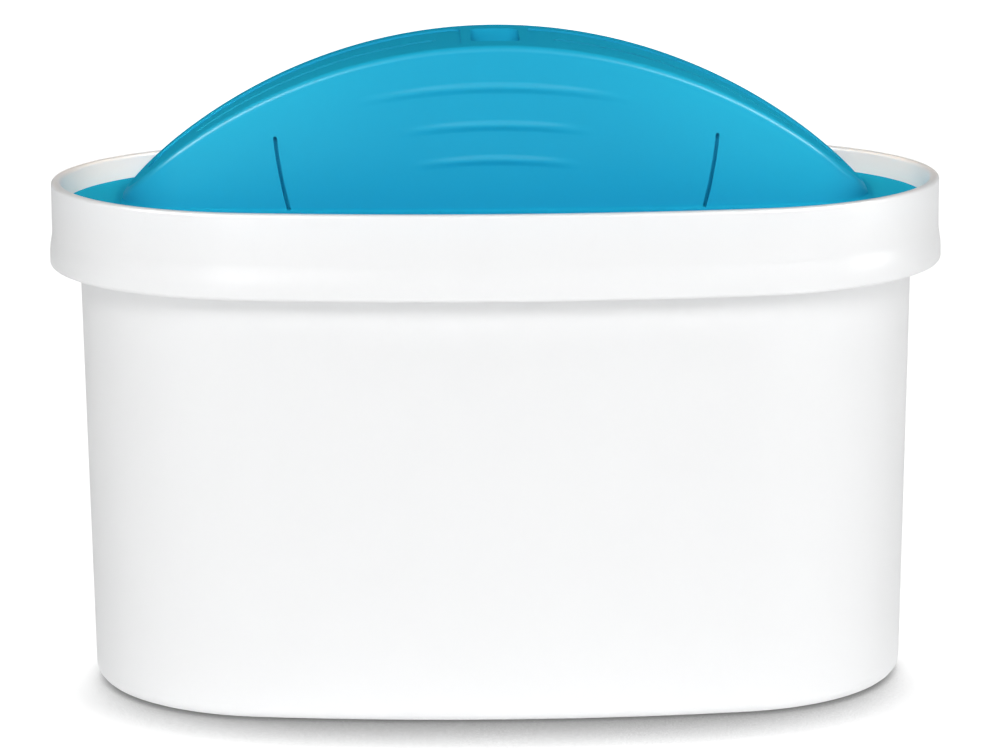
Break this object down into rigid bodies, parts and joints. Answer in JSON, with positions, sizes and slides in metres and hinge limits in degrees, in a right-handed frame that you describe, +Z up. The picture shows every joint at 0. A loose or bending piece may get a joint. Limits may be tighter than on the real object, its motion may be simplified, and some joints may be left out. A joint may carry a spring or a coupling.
{
  "type": "water pitcher filter cartridge",
  "caption": "Oval drop-in filter cartridge for a water pitcher: drafted cup with a seating collar, hollow arched finger grip with inlet slits, granulate bed and slotted outlet floor.",
  "frame": {"origin": "on the floor under the middle of the foot ring, the bottom centre of the box around the cartridge", "axes": "+X along the length, -Y towards the front face of the grip, +Z up out of the pitcher funnel"},
  "size_m": [0.1076, 0.0606, 0.0783],
  "materials": {
    "cup_plastic": "white moulded polypropylene, soft gloss",
    "lid_plastic": "cyan moulded polypropylene, soft gloss",
    "screen_weave": "fine woven monofilament screen",
    "granulate": "loose amber resin beads mixed with black carbon grains",
    "fleece": "soft white needled fleece"
  },
  "bodies": {
    "root": {"cup": "cup_plastic", "lid": "lid_plastic", "inlet_screen": "screen_weave", "granulate_bed": "granulate", "outlet_fleece": "fleece", "outlet_screen": "screen_weave"}
  },
  "joints": []
}
